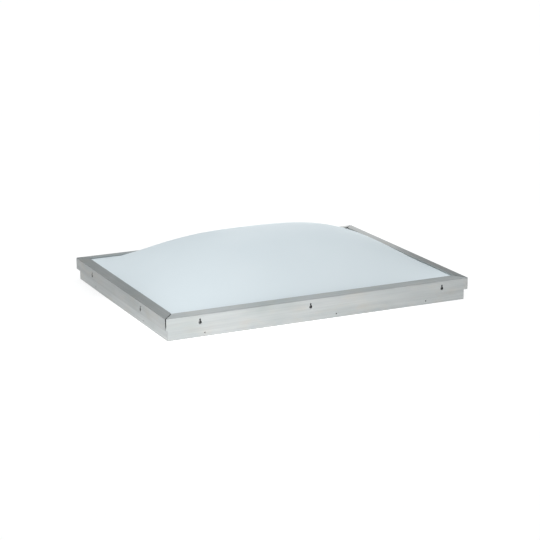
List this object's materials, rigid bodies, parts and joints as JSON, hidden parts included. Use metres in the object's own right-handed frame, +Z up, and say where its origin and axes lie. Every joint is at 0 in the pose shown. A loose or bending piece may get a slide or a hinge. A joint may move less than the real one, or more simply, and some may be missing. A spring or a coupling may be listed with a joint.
{
  "type": "roof skylight",
  "caption": "Fixed rectangular roof skylight: a white blown acrylic dome clamped in a stepped, mitred aluminium frame that drops over a roof curb.",
  "frame": {"origin": "centre of the lower edge of the frame, on the surface that it stands on", "axes": "+X along the long sides, +Y from the front side to the back side, +Z up"},
  "size_m": [1.258, 0.9532, 0.235],
  "materials": {
    "retainer_metal": "mill finish, matt, faint drawing lines",
    "rail_metal": "mill finish, matt, faint drawing lines",
    "cleat_metal": "mill finish, matt, faint drawing lines",
    "dome_acrylic": "white opal acrylic, smooth",
    "gasket_rubber": "black rubber, matt",
    "tape_foam": "dark closed-cell foam",
    "screw_steel": "dull stainless",
    "washer_rubber": "black rubber, matt"
  },
  "bodies": {
    "root": {"dome": "dome_acrylic", "retainer_front": "retainer_metal", "curb_rail_front": "rail_metal", "retainer_gasket_front": "gasket_rubber", "retainer_screws_front": "screw_steel", "screw_washers_front": "washer_rubber", "retainer_back": "retainer_metal", "curb_rail_back": "rail_metal", "retainer_gasket_back": "gasket_rubber", "retainer_screws_back": "screw_steel", "screw_washers_back": "washer_rubber", "retainer_left": "retainer_metal", "curb_rail_left": "rail_metal", "retainer_gasket_left": "gasket_rubber", "retainer_screws_left": "screw_steel", "screw_washers_left": "washer_rubber", "retainer_right": "retainer_metal", "curb_rail_right": "rail_metal", "retainer_gasket_right": "gasket_rubber", "retainer_screws_right": "screw_steel", "screw_washers_right": "washer_rubber", "corner_cleat_front_left": "cleat_metal", "corner_cleat_front_right": "cleat_metal", "corner_cleat_back_left": "cleat_metal", "corner_cleat_back_right": "cleat_metal", "glazing_tape": "tape_foam", "curb_gasket": "tape_foam"}
  },
  "joints": []
}
